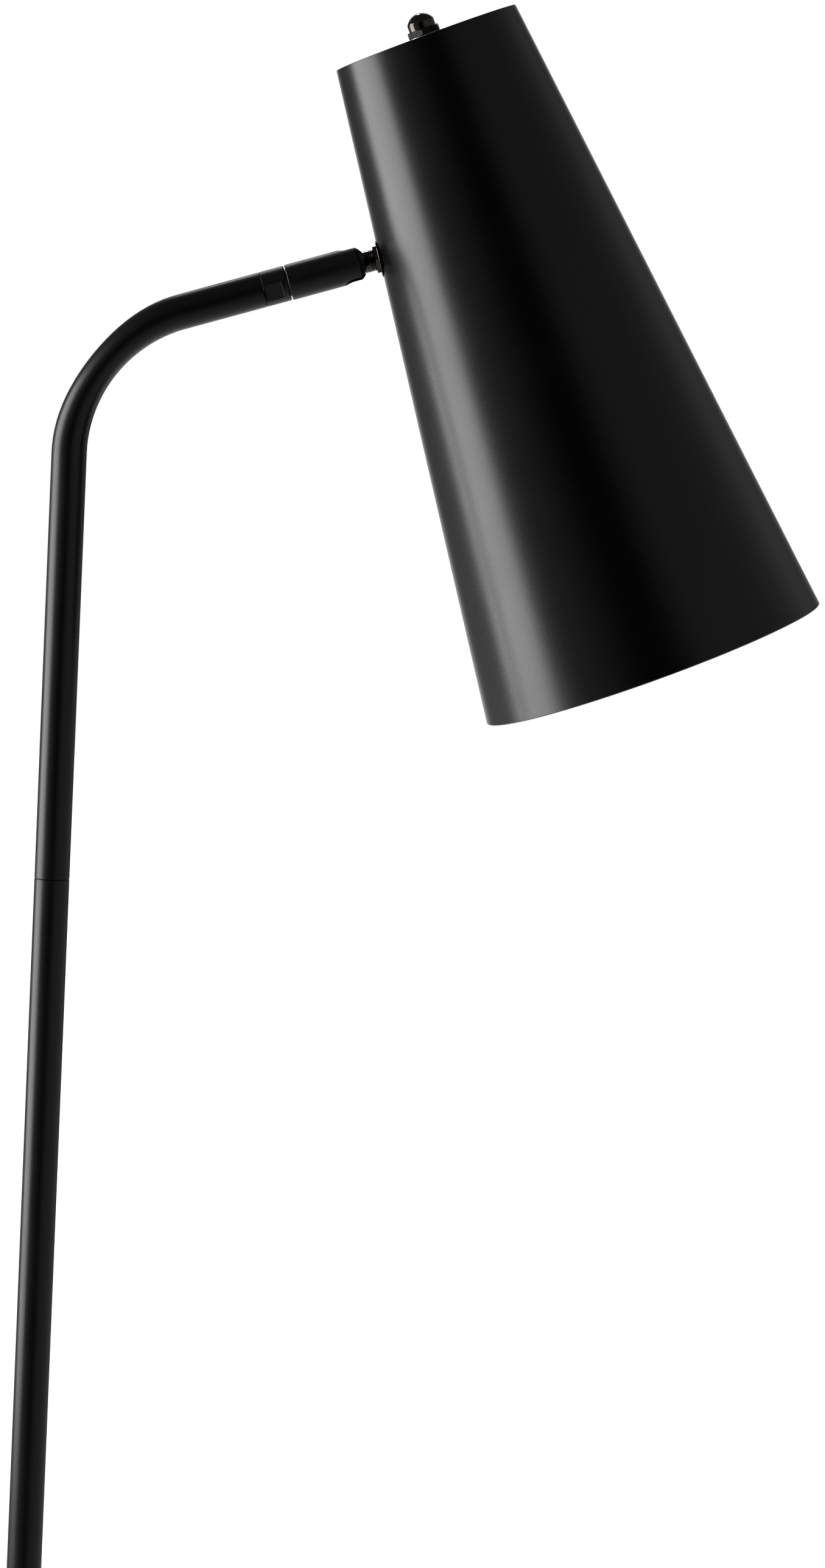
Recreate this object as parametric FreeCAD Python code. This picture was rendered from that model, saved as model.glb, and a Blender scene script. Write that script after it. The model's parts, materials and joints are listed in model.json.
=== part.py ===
import FreeCAD, Part
import math
import os

from FreeCAD import Placement, Rotation, Vector

# Adjustable arm floor lamp. The origin is at the centre of the base's underside, on the pole's axis.
# +Z is up, and the arm and the shade reach toward +X. Sizes are in millimetres, angles in degrees.

# Base
BASE_R = 135.0
BASE_H = 20.0
COVER_WALL = 1.2
COVER_EDGE_R = 5.0
COVER_LIFT = 1.0
PAD_T = 2.0
WEIGHT_R = 130.0
WEIGHT_TOP = 13.5
BOSS_R = 30.0
RECESS_R = 20.0
RECESS_TOP = 14.5
CORD_Z = 6.0
GROOVE_W = 8.0
GROOVE_TOP = 10.5
GLAND_BORE_R = 3.2
GLAND_R = 4.5
GLAND_LENGTH = 14.0
SEAT_T = 2.0
SEAT_R = 14.0
SEAT_BEVEL = 0.8
WEIGHT_FOOT_BEVEL = 1.0
WEIGHT_TOP_BEVEL = 2.0
BOSS_FOOT = 3.0
NOTCH_DEPTH = 12.0
NOTCH_W = 14.0
BASE_WASHER_R = 15.0
BASE_NUT_T = 2.8
NIPPLE_IN_RECESS = 4.0
NIPPLE_PAST_STUD = 1.5

# Pole: two straight tubes, then the bent arm tube
TUBE_R = 8.0
TUBE_WALL = 1.0
POLE_LENGTH = 540.0
COUPLER_LENGTH = 18.0
STUD_LENGTH = 14.0
CORNER_ABOVE_SEAM = 244.0
ARM_RISE = 17.85
BEND_R = 69.0
BEND_FLAT = 1.9
BEND_BULGE = 0.15
BEND_STEPS = 12
ARM_LENGTH = 88.6
SEAM_BEVEL = 0.3

# M10x1 lamp thread, its hex nuts and the lead
THREAD_R = 4.9
THREAD_PITCH = 1.0
THREAD_DEPTH = 0.3
THREAD_HOLE_R = 5.0
NUT_AF = 14.0
SLIM_NUT_AF = 12.0
PASS_HOLE_R = 5.2
NIPPLE_BORE_R = 3.5
LEAD_R = 2.2
LEAD_BORE_R = 2.9
FOOT_BEND_R = 6.0
PRESS_GAP = 0.05
WASHER_T = 1.0
NUT_T = 3.0
WRENCH_SLOT_W = 1.5

# Swivel between the arm and the knuckle, measured along the arm from its corner with the pole
COLLAR_END = 99.95
COLLAR_END_BEVEL = 0.6
COLLAR_FLAT_TO_AXIS = 7.0
COLLAR_FLAT_END_LIP = 2.65
COLLAR_FLAT_FILLET = 0.3
COLLAR_FLAT_RAMP = 0.85
COLLAR_FLAT_ROLL = 18.7
NECK_R = 6.3
HOUSING_START = 100.4
SPIGOT_R = 4.5
SPIGOT_END = 108.5
STOP_PIN_R = 0.7
STOP_PIN_ORBIT = 5.4
STOP_GROOVE_R = 6.2
STOP_GROOVE_DEPTH = 2.0
STOP_LUG_HALF_ANGLE = 7.0
FLANGE_T = 4.0
RUNNING_GAP = 0.08
FACE_GAP = 0.05
STOP_PIN_TIP_GAP = 0.4
SPRING_WASHER_R = 5.9
SPRING_WASHER_T = 0.6
LOCK_NUT_R = 5.8
LOCK_NUT_T = 2.8
LOCK_SLOT_DEPTH = 0.8

# Knuckle housing and the ball that it holds
HOUSING_R = 8.15
HOUSING_CREASE = 133.1
DOME_R = 9.45
HOUSING_EDGE_R = 2.0
BALL_BACK_FROM_CREASE = 3.0
BALL_R = 6.0
BALL_GAP = 0.1
SLOT_W = 8.8
SLOT_BACK_FROM_CREASE = 8.3
SLOT_ROLL = 8.0
TILT_PIN_R = 1.5
TILT_PIN_DEPTH = 2.0
PLUG_LOW = 115.2
SPRING_LOW = 118.2
SEAT_LOW = 119.8
SEAT_HIGH = 125.8
BALL_SPRING_BORE_R = 3.2
BALL_SPRING_R = 5.9
PLUG_SLOT_DEPTH = 1.0

# Stem from the ball to the shade, measured from the ball's centre
TONGUE_FLAT_TO_AXIS = 4.3
STEM_SHOULDER = 7.6
SHOULDER_LENGTH = 0.8
FUNNEL_R = 4.4
TAIL_BEVEL = 0.3
TAIL_R = 3.4
TAIL_END = 14.0
TAIL_BORE_R = 2.5
OUTER_NUT_START = 10.4
OUTER_NUT_T = 1.8
OUTER_NUT_ROLL = 30.0
SHADE_WASHER_R = 8.25
SHADE_WASHER_T = 0.5
STEM_END = 21.0

# Shade: a cone with a closed top
SHADE_TOP_R = 42.8
SHADE_MOUTH_R = 80.2
SHADE_LENGTH = 300.0
SHADE_WALL = 1.0
SHADE_EDGE_R = 0.4
SHADE_LIP = 0.4
SHADE_TILT = 22.8
STEM_BELOW_TOP = 86.3

# Cap nut, lampholder and bulb, measured along the shade's axis from its top face
TOP_SPACER_R = 7.0
TOP_SPACER_T = 0.7
TOP_WASHER_R = 7.25
TOP_WASHER_T = 0.5
CAP_NUT_HEX_H = 3.05
CAP_NUT_NECK_R = 6.2
CAP_NUT_DOME_R = 6.9
CAP_NUT_EDGE_R = 2.0
CAP_NUT_H = 10.1
CAP_NUT_BORE = 7.0
CAP_NUT_ROLL = 24.0
TOP_NIPPLE_END = -15.0
TOP_NIPPLE_HIGH = 7.0
TOP_INNER_WASHER_R = 9.0
HOLDER_R = 20.0
HOLDER_CAP_TOP = -5.5
HOLDER_JOINT = -22.0
HOLDER_END = -60.0
SCREW_SHELL_R = 13.9
BULB_CAP_R = 13.1
BULB_TIP = -35.0
BULB_CAP_LENGTH = 25.0
BULB_NECK_R = 13.0
BULB_BODY_LENGTH = 34.0
BULB_R = 30.0
GLOBE_WALL = 1.0
GLOBE_BELOW_BODY = 16.0
ENTRY_Z = -18.0
INSERT_LOW = -33.0
INSERT_T = 6.0
HOLDER_COLLAR_R = 8.0
HOLDER_COLLAR_H = 4.0
HOLDER_WALL = 3.0
GRIP_RIBS = 24
GRIP_DEPTH = 1.4
GRIP_W = 1.6
GRIP_LENGTH = 20.0
SCREW_SHELL_WALL = 0.4
RIVET_R = 1.5
CONTACT_R = 3.0

# Worked out from the sizes above
TUBE_BORE_R = TUBE_R - TUBE_WALL
PRESS_R = TUBE_BORE_R - PRESS_GAP
POLE_FOOT_Z = BASE_H + SEAT_T
SEAM_Z = [POLE_FOOT_Z + POLE_LENGTH, POLE_FOOT_Z + 2.0 * POLE_LENGTH]
CORNER_Z = SEAM_Z[1] + CORNER_ABOVE_SEAM
BALL_ALONG_ARM = HOUSING_CREASE - BALL_BACK_FROM_CREASE
POCKET_R = BALL_R + BALL_GAP
WALL_FROM_BALL = OUTER_NUT_START + OUTER_NUT_T + SHADE_WASHER_T
SHADE_HALF_ANGLE = math.degrees(math.atan((SHADE_MOUTH_R - SHADE_TOP_R) / SHADE_LENGTH))
STEM_RISE = SHADE_TILT - SHADE_HALF_ANGLE
CAP_NUT_LOW = TOP_SPACER_T + TOP_WASHER_T
BEND_TURN = 90.0 - ARM_RISE
BEND_REACH = BEND_R * math.tan(math.radians(BEND_TURN / 2.0))
FLANGE_END = HOUSING_START + FLANGE_T
STOP_PIN_LOW = HOUSING_START - 4.0
PIN_END = math.sqrt(HOUSING_R ** 2 - TILT_PIN_R ** 2) - 0.1
BULB_CAP_LOW = BULB_TIP - BULB_CAP_LENGTH
BULB_RIM = BULB_CAP_LOW - BULB_BODY_LENGTH


def direction(rise):
    """A unit vector in the XZ plane, at this angle above +X."""
    return Vector(math.cos(math.radians(rise)), 0, math.sin(math.radians(rise)))


def turned(angle):
    return Rotation(Vector(0, 1, 0), angle)


# Places: local +Z runs along the arm, along the stem toward the shade, and up the shade's axis.
ARM_CORNER = Vector(0, 0, CORNER_Z)
BALL_CENTRE = ARM_CORNER + direction(ARM_RISE) * BALL_ALONG_ARM
WALL_POINT = BALL_CENTRE + direction(STEM_RISE) * WALL_FROM_BALL
TOP_CORNER = WALL_POINT + direction(STEM_RISE + 90.0) * STEM_BELOW_TOP
SHADE_TOP = TOP_CORNER + direction(SHADE_TILT) * SHADE_TOP_R
ON_FLOOR = Placement()
ON_ARM = Placement(ARM_CORNER, turned(90.0 - ARM_RISE))
ON_BALL = Placement(BALL_CENTRE, turned(90.0 - STEM_RISE))
ON_SHADE = Placement(SHADE_TOP, turned(-SHADE_TILT))


def revolved(points):
    """The solid that a closed outline of (radius, height) points sweeps about Z."""
    corners = [Vector(radius, 0, height) for radius, height in points]
    face = Part.Face(Part.makePolygon(corners + corners[:1]))
    return face.revolve(Vector(0, 0, 0), Vector(0, 0, 1), 360)


def revolved_edges(edges):
    return Part.Face(Part.Wire(edges)).revolve(Vector(0, 0, 0), Vector(0, 0, 1), 360)


def line(start, end):
    return Part.LineSegment(Vector(start[0], 0, start[1]), Vector(end[0], 0, end[1])).toShape()


def arc(start, middle, end):
    corners = [Vector(radius, 0, height) for radius, height in (start, middle, end)]
    return Part.Arc(*corners).toShape()


def rod(radius, low, high):
    return Part.makeCylinder(radius, high - low, Vector(0, 0, low))


def ring(bore, radius, low, high):
    return rod(radius, low, high).cut(rod(bore, low - 1.0, high + 1.0))


def chamfered_ring(bore, radius, low, high, bevel):
    """A ring whose outer edges are bevelled."""
    return revolved([(bore, low), (radius - bevel, low), (radius, low + bevel), (radius, high - bevel),
                     (radius - bevel, high), (bore, high)])


def block(centre, size):
    corner = Vector(*[middle - width / 2.0 for middle, width in zip(centre, size)])
    return Part.makeBox(size[0], size[1], size[2], corner)


def hexagon(across_flats, low, high):
    radius = across_flats / math.sqrt(3.0)
    corners = [Vector(radius * math.cos(math.radians(60.0 * side)),
                      radius * math.sin(math.radians(60.0 * side)), low) for side in range(7)]
    return Part.Face(Part.makePolygon(corners)).extrude(Vector(0, 0, high - low))


def hex_nut(across_flats, low, high, bore):
    """A hexagon nut with its corners turned down on both faces."""
    corner_r = across_flats / math.sqrt(3.0)
    flat_r = across_flats / 2.0
    drop = (corner_r - flat_r) * math.tan(math.radians(30.0))
    turned_down = revolved([(0, low), (flat_r, low), (corner_r, low + drop), (corner_r, high - drop),
                            (flat_r, high), (0, high)])
    return hexagon(across_flats, low, high).common(turned_down).cut(rod(bore, low - 1.0, high + 1.0))


def domed_rod(radius, low, crease, dome_r, edge_r):
    """A bar bevelled at its start, with a dome on its end and a rounded edge between bar and dome."""
    bevel = 0.3
    dome_z = crease - math.sqrt(dome_r ** 2 - radius ** 2)
    edge_z = dome_z + math.sqrt((dome_r - edge_r) ** 2 - (radius - edge_r) ** 2)
    lean = math.atan2(edge_z - dome_z, radius - edge_r)
    dome_lean = (lean + math.pi / 2.0) / 2.0
    edge_middle = (radius - edge_r + edge_r * math.cos(lean / 2.0), edge_z + edge_r * math.sin(lean / 2.0))
    dome_start = (dome_r * math.cos(lean), dome_z + dome_r * math.sin(lean))
    dome_middle = (dome_r * math.cos(dome_lean), dome_z + dome_r * math.sin(dome_lean))
    top = (0, dome_z + dome_r)
    return revolved_edges([
        line((0, low), (radius - bevel, low)),
        line((radius - bevel, low), (radius, low + bevel)),
        line((radius, low + bevel), (radius, edge_z)),
        arc((radius, edge_z), edge_middle, dome_start),
        arc(dome_start, dome_middle, top),
        line(top, (0, low)),
    ])


def threaded_tube(bore, low, high):
    """A tube with ridges of the lamp thread along its outside and a bevel at both ends."""
    root = THREAD_R - THREAD_DEPTH
    outline = [(bore, low), (root, low)]
    for turn in range(int((high - low) / THREAD_PITCH)):
        start = low + turn * THREAD_PITCH
        outline.append((THREAD_R, start + 0.4 * THREAD_PITCH))
        outline.append((THREAD_R, start + 0.6 * THREAD_PITCH))
        outline.append((root, start + THREAD_PITCH))
    if outline[-1][1] < high:
        outline.append((root, high))
    outline.append((bore, high))
    return revolved(outline)


def rolled(shape, angle):
    """The shape turned about its own local Z axis."""
    copy = shape.copy()
    copy.rotate(Vector(0, 0, 0), Vector(0, 0, 1), angle)
    return copy


def lead_along(points, radii):
    """A round lead along straight runs, with a tangent arc of each given radius at each inner point."""
    edges = []
    start = points[0]
    for before, corner, after, radius in zip(points, points[1:], points[2:], radii):
        incoming = (corner - before).normalize()
        outgoing = (after - corner).normalize()
        half_turn = incoming.getAngle(outgoing) / 2.0
        reach = radius * math.tan(half_turn)
        arc_start = corner - incoming * reach
        arc_end = corner + outgoing * reach
        to_centre = (outgoing - incoming).normalize()
        arc_middle = corner + to_centre * (radius / math.cos(half_turn) - radius)
        edges.append(Part.LineSegment(start, arc_start).toShape())
        edges.append(Part.Arc(arc_start, arc_middle, arc_end).toShape())
        start = arc_end
    edges.append(Part.LineSegment(start, points[-1]).toShape())
    first_run = (points[1] - points[0]).normalize()
    section = Part.Wire(Part.makeCircle(LEAD_R, points[0], first_run))
    return Part.Wire(edges).makePipeShell([section], True, False)


# Base

def base_cover():
    """A pressed dish, open below, with a rounded top edge."""
    top_z = BASE_H
    inner_r = BASE_R - COVER_WALL
    inner_edge_r = COVER_EDGE_R - COVER_WALL
    diagonal = math.sqrt(0.5)
    edge_centre = (BASE_R - COVER_EDGE_R, top_z - COVER_EDGE_R)
    outer_middle = (edge_centre[0] + COVER_EDGE_R * diagonal, edge_centre[1] + COVER_EDGE_R * diagonal)
    inner_middle = (edge_centre[0] + inner_edge_r * diagonal, edge_centre[1] + inner_edge_r * diagonal)
    outline = [
        line((PASS_HOLE_R, top_z), (edge_centre[0], top_z)),
        arc((edge_centre[0], top_z), outer_middle, (BASE_R, edge_centre[1])),
        line((BASE_R, edge_centre[1]), (BASE_R, COVER_LIFT)),
        line((BASE_R, COVER_LIFT), (inner_r, COVER_LIFT)),
        line((inner_r, COVER_LIFT), (inner_r, edge_centre[1])),
        arc((inner_r, edge_centre[1]), inner_middle, (edge_centre[0], top_z - COVER_WALL)),
        line((edge_centre[0], top_z - COVER_WALL), (PASS_HOLE_R, top_z - COVER_WALL)),
        line((PASS_HOLE_R, top_z - COVER_WALL), (PASS_HOLE_R, top_z)),
    ]
    hole_start = Vector(-BASE_R - 5.0, 0, CORD_Z)
    gland_hole = Part.makeCylinder(GLAND_R + PRESS_GAP, 20.0, hole_start, Vector(1, 0, 0))
    return revolved_edges(outline).cut(gland_hole)


def base_weight():
    """A cast disc with a centre boss, a nut recess below and a groove for the lead."""
    disc = revolved([(0, PAD_T), (WEIGHT_R - WEIGHT_FOOT_BEVEL, PAD_T), (WEIGHT_R, PAD_T + WEIGHT_FOOT_BEVEL),
                     (WEIGHT_R, WEIGHT_TOP - WEIGHT_TOP_BEVEL), (WEIGHT_R - WEIGHT_TOP_BEVEL, WEIGHT_TOP),
                     (BOSS_R + BOSS_FOOT, WEIGHT_TOP),
                     (BOSS_R, BASE_H - COVER_WALL), (0, BASE_H - COVER_WALL)])
    recess = rod(RECESS_R, PAD_T - 1.0, RECESS_TOP)
    groove_height = GROOVE_TOP - PAD_T + 1.0
    groove = block((-WEIGHT_R / 2.0, 0, GROOVE_TOP - groove_height / 2.0),
                   (WEIGHT_R, GROOVE_W, groove_height))
    notch = block((-WEIGHT_R, 0, WEIGHT_TOP / 2.0 + 1.0), (2.0 * NOTCH_DEPTH, NOTCH_W, WEIGHT_TOP + 2.0))
    bore = rod(PASS_HOLE_R, 0.0, BASE_H)
    return disc.cut(recess).cut(groove).cut(notch).cut(bore)


def cord_gland():
    """The bush that the mains cord would pass through, with a flange each side of the cover's wall."""
    outline = [(GLAND_BORE_R, -2.0), (GLAND_R + 0.5, -2.0), (GLAND_R + 1.0, -1.5), (GLAND_R + 1.0, 0.0),
               (GLAND_R, 0.0), (GLAND_R, 1.6), (GLAND_R + 0.8, 2.0), (GLAND_R + 0.8, 3.5),
               (GLAND_R - 0.5, 5.0), (GLAND_R - 0.5, GLAND_LENGTH - 2.0), (GLAND_BORE_R, GLAND_LENGTH - 2.0)]
    bush = revolved(outline)
    bush.Placement = Placement(Vector(-BASE_R, 0, CORD_Z), turned(90.0))
    return bush


def base_parts():
    nipple_low = RECESS_TOP - NIPPLE_IN_RECESS
    nipple_high = POLE_FOOT_Z + STUD_LENGTH + NIPPLE_PAST_STUD
    washer_low = RECESS_TOP - WASHER_T
    return {
        "base_pad": rod(WEIGHT_R, 0.0, PAD_T),
        "base_weight": base_weight(),
        "base_cover": base_cover(),
        "cord_gland": cord_gland(),
        "base_washer": ring(PASS_HOLE_R, BASE_WASHER_R, washer_low, RECESS_TOP),
        "base_nut": hex_nut(NUT_AF, washer_low - BASE_NUT_T, washer_low, THREAD_HOLE_R),
        "base_nipple": threaded_tube(NIPPLE_BORE_R, nipple_low, nipple_high),
        "pole_seat": chamfered_ring(PASS_HOLE_R, SEAT_R, BASE_H, POLE_FOOT_Z, SEAT_BEVEL),
    }


# Pole

def pole_tube(low):
    return chamfered_ring(TUBE_BORE_R, TUBE_R, low, low + POLE_LENGTH, SEAM_BEVEL)


def coupler_stud(seam):
    """A turned plug pressed into the lower tube, with a threaded stud that stands above the seam."""
    plug = ring(NIPPLE_BORE_R, PRESS_R, seam - COUPLER_LENGTH, seam)
    return plug.fuse(threaded_tube(NIPPLE_BORE_R, seam, seam + STUD_LENGTH)).removeSplitter()


def coupler_socket(seam):
    """The threaded bush pressed into the upper tube."""
    return ring(THREAD_HOLE_R, PRESS_R, seam, seam + COUPLER_LENGTH)


def pole_parts():
    parts = {
        "pole_lower": pole_tube(POLE_FOOT_Z),
        "pole_middle": pole_tube(SEAM_Z[0]),
        "pole_foot_bush": coupler_socket(POLE_FOOT_Z),
    }
    for name, seam in zip(("lower", "upper"), SEAM_Z):
        parts["coupler_stud_" + name] = coupler_stud(seam)
        parts["coupler_socket_" + name] = coupler_socket(seam)
    return parts


# Arm

def bend_section(turn, radius):
    """The tube's section at this angle round the bend, pressed flat on the bend's outer side."""
    centre = Vector(BEND_R, 0, CORNER_Z - BEND_REACH)
    outward = Vector(-math.cos(math.radians(turn)), 0, math.sin(math.radians(turn)))
    squeeze = BEND_FLAT * math.sin(math.pi * turn / BEND_TURN) ** 2
    ellipse = Part.Ellipse(centre + outward * (BEND_R - squeeze / 2.0), radius + BEND_BULGE * squeeze,
                           radius - squeeze / 2.0)
    ellipse.Axis = outward.cross(Vector(0, 1, 0))
    ellipse.XAxis = Vector(0, 1, 0)
    return Part.Wire(ellipse.toShape())


def arm_solid(radius):
    """The bent tube as a filled bar of this radius."""
    upright = rod(radius, SEAM_Z[1], CORNER_Z - BEND_REACH)
    leg = rod(radius, BEND_REACH, ARM_LENGTH)
    leg.Placement = ON_ARM
    sections = [bend_section(BEND_TURN * step / BEND_STEPS, radius) for step in range(BEND_STEPS + 1)]
    bend = Part.makeLoft(sections, True, False)
    return upright.fuse([bend, leg])


def end_bevel(end, onward):
    """What a bevel takes off a tube's end, where the tube runs on upward (1) or downward (-1) from there."""
    outside = end - onward * SEAM_BEVEL
    inside = end + onward * 2.0 * SEAM_BEVEL
    return revolved([(TUBE_R - 2.0 * SEAM_BEVEL, outside), (TUBE_R + SEAM_BEVEL, inside),
                     (TUBE_R + SEAM_BEVEL, outside)])


def arm_tube():
    far_bevel = end_bevel(ARM_LENGTH, -1.0)
    far_bevel.Placement = ON_ARM
    tube = arm_solid(TUBE_R).cut(arm_solid(TUBE_BORE_R))
    return tube.cut(end_bevel(SEAM_Z[1], 1.0)).cut(far_bevel)


def stand_lead():
    """The lead from the gland through the base, up the pole and along the arm to the spigot's end."""
    inlet = Vector(GLAND_LENGTH - 2.0 - BASE_R + FACE_GAP, 0, CORD_Z)
    foot = Vector(0, 0, CORD_Z)
    arm_end = ARM_CORNER + direction(ARM_RISE) * SPIGOT_END
    return lead_along([inlet, foot, ARM_CORNER, arm_end], [FOOT_BEND_R, BEND_R])


# Swivel: these parts stand on the arm, and the knuckle turns about them

def flat_cutter(side):
    """What a wrench flat takes off the collar: a ramp at the arm's end, then the flat up to a lip."""
    ramp_rise = TUBE_R - COLLAR_FLAT_TO_AXIS
    outer = TUBE_R + 2.0 * ramp_rise
    flat_start = ARM_LENGTH + COLLAR_FLAT_RAMP
    flat_end = COLLAR_END - COLLAR_FLAT_END_LIP
    outline = [(COLLAR_FLAT_TO_AXIS, flat_start), (COLLAR_FLAT_TO_AXIS, flat_end - COLLAR_FLAT_FILLET),
               (COLLAR_FLAT_TO_AXIS + COLLAR_FLAT_FILLET, flat_end), (outer, flat_end),
               (outer, flat_start - 3.0 * COLLAR_FLAT_RAMP)]
    corners = [Vector(-TUBE_R, side * across, along) for across, along in outline]
    return Part.Face(Part.makePolygon(corners + corners[:1])).extrude(Vector(2.0 * TUBE_R, 0, 0))


def swivel_collar():
    """A turned collar with a threaded stud behind it, two wrench flats, and a spigot in front."""
    stud = threaded_tube(LEAD_BORE_R, ARM_LENGTH - STUD_LENGTH, ARM_LENGTH)
    collar = revolved([(LEAD_BORE_R, ARM_LENGTH), (TUBE_R - SEAM_BEVEL, ARM_LENGTH),
                       (TUBE_R, ARM_LENGTH + SEAM_BEVEL), (TUBE_R, COLLAR_END - COLLAR_END_BEVEL),
                       (TUBE_R - SEAM_BEVEL, COLLAR_END), (LEAD_BORE_R, COLLAR_END)])
    neck_end = HOUSING_START - FACE_GAP
    body = collar.fuse([ring(LEAD_BORE_R, NECK_R, COLLAR_END, neck_end),
                        ring(LEAD_BORE_R, SPIGOT_R, neck_end, SPIGOT_END)])
    for side in (-1.0, 1.0):
        body = body.cut(rolled(flat_cutter(side), COLLAR_FLAT_ROLL))
    pin_hole = Part.makeCylinder(STOP_PIN_R + PRESS_GAP / 2.0, 6.0, Vector(STOP_PIN_ORBIT, 0, STOP_PIN_LOW))
    return body.fuse(stud).cut(pin_hole).removeSplitter()


def swivel_lock_nut():
    """A round nut with two slots for a pin wrench."""
    low = FLANGE_END + FACE_GAP + SPRING_WASHER_T
    high = low + LOCK_NUT_T
    nut = ring(SPIGOT_R + PRESS_GAP, LOCK_NUT_R, low, high)
    return nut.cut(block((0, 0, high), (WRENCH_SLOT_W, 2.0 * HOUSING_R, 2.0 * LOCK_SLOT_DEPTH)))


def stop_pin():
    low = STOP_PIN_LOW
    high = HOUSING_START + STOP_GROOVE_DEPTH - STOP_PIN_TIP_GAP
    return Part.makeCylinder(STOP_PIN_R, high - low, Vector(STOP_PIN_ORBIT, 0, low))


def swivel_parts():
    washer_low = FLANGE_END + FACE_GAP
    washer_high = washer_low + SPRING_WASHER_T
    return {
        "arm_end_bush": ring(THREAD_HOLE_R, PRESS_R, ARM_LENGTH - COUPLER_LENGTH, ARM_LENGTH),
        "swivel_collar": swivel_collar(),
        "swivel_stop_pin": stop_pin(),
        "swivel_spring_washer": ring(SPIGOT_R + PRESS_GAP, SPRING_WASHER_R, washer_low, washer_high),
        "swivel_lock_nut": swivel_lock_nut(),
    }


# Knuckle

def slot_cutter(width, back, front):
    """A slot through the housing from top to bottom, with a round end toward the arm."""
    radius = width / 2.0
    depth = 4.0 * HOUSING_R
    end = Part.makeCylinder(radius, depth, Vector(-depth / 2.0, 0, back + radius), Vector(1, 0, 0))
    run = block((0, 0, (back + radius + front) / 2.0), (depth, width, front - back - radius))
    return rolled(end.fuse(run), -SLOT_ROLL)


def stop_lug():
    """The part of the housing's end face that the stop pin comes up against."""
    radius = STOP_GROOVE_R + 0.2
    corners = [Vector(0, 0, HOUSING_START)]
    for side in (-1.0, 1.0):
        angle = math.radians(180.0 + side * STOP_LUG_HALF_ANGLE)
        corners.append(Vector(2.0 * radius * math.cos(angle), 2.0 * radius * math.sin(angle), HOUSING_START))
    wedge = Part.Face(Part.makePolygon(corners + corners[:1])).extrude(Vector(0, 0, STOP_GROOVE_DEPTH))
    groove_end = HOUSING_START + STOP_GROOVE_DEPTH
    return wedge.common(ring(SPIGOT_R + RUNNING_GAP, radius, HOUSING_START, groove_end))


def tilt_pin(radius, inner, outer, side):
    """One stub pin on the tilt axis, from this far inside the ball's surface to this far from its centre."""
    start = Vector(0, side * inner, BALL_ALONG_ARM)
    pin = Part.makeCylinder(radius, outer - inner, start, Vector(0, side, 0))
    return rolled(pin, -SLOT_ROLL)


def knuckle_housing():
    """A bored bar with a domed, slotted end that holds the ball between two cheeks."""
    body = domed_rod(HOUSING_R, HOUSING_START, HOUSING_CREASE, DOME_R, HOUSING_EDGE_R)
    body = body.cut(rod(SPIGOT_R + RUNNING_GAP, HOUSING_START - 1.0, FLANGE_END + 1.0))
    body = body.cut(rod(STOP_GROOVE_R, HOUSING_START - 1.0, HOUSING_START + STOP_GROOVE_DEPTH))
    body = body.cut(rod(POCKET_R, FLANGE_END, BALL_ALONG_ARM))
    body = body.cut(Part.makeSphere(POCKET_R, Vector(0, 0, BALL_ALONG_ARM)))
    body = body.cut(slot_cutter(SLOT_W, HOUSING_CREASE - SLOT_BACK_FROM_CREASE, HOUSING_CREASE + 10.0))
    for side in (-1.0, 1.0):
        body = body.cut(tilt_pin(TILT_PIN_R + PRESS_GAP / 2.0, POCKET_R - 1.0, PIN_END, side))
    return body.fuse(stop_lug()).removeSplitter()


def ball_seat():
    """A cup that presses on the back of the ball."""
    seat = ring(LEAD_BORE_R, POCKET_R - PRESS_GAP, SEAT_LOW, SEAT_HIGH)
    return seat.cut(Part.makeSphere(POCKET_R, Vector(0, 0, BALL_ALONG_ARM)))


def ball_plug():
    """The threaded ring that sets the spring's load, slotted for a wrench."""
    plug = ring(LEAD_BORE_R, POCKET_R - PRESS_GAP, PLUG_LOW, SPRING_LOW)
    return plug.cut(block((0, 0, PLUG_LOW), (WRENCH_SLOT_W, 2.0 * HOUSING_R, 2.0 * PLUG_SLOT_DEPTH)))


def tilt_pins():
    pins = [tilt_pin(TILT_PIN_R, BALL_R - TILT_PIN_DEPTH, PIN_END, side) for side in (-1.0, 1.0)]
    return Part.makeCompound(pins)


def knuckle_parts():
    lead_start = SPIGOT_END + FACE_GAP
    lead_end = BALL_ALONG_ARM - BALL_R - FACE_GAP
    return {
        "knuckle_housing": knuckle_housing(),
        "ball_seat": ball_seat(),
        "ball_spring": ring(BALL_SPRING_BORE_R, BALL_SPRING_R, SPRING_LOW, SEAT_LOW),
        "ball_plug": ball_plug(),
        "tilt_pins": tilt_pins(),
        "knuckle_lead": rod(LEAD_R, lead_start, lead_end),
    }


# Ball and stem: local Z runs from the ball's centre toward the shade

def in_slot(shape):
    """A shape made square to the local Y axis, turned to lie square to the tilt axis instead."""
    copy = rolled(shape, -SLOT_ROLL)
    copy.rotate(Vector(0, 0, 0), Vector(0, 1, 0), STEM_RISE - ARM_RISE)
    return copy


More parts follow.
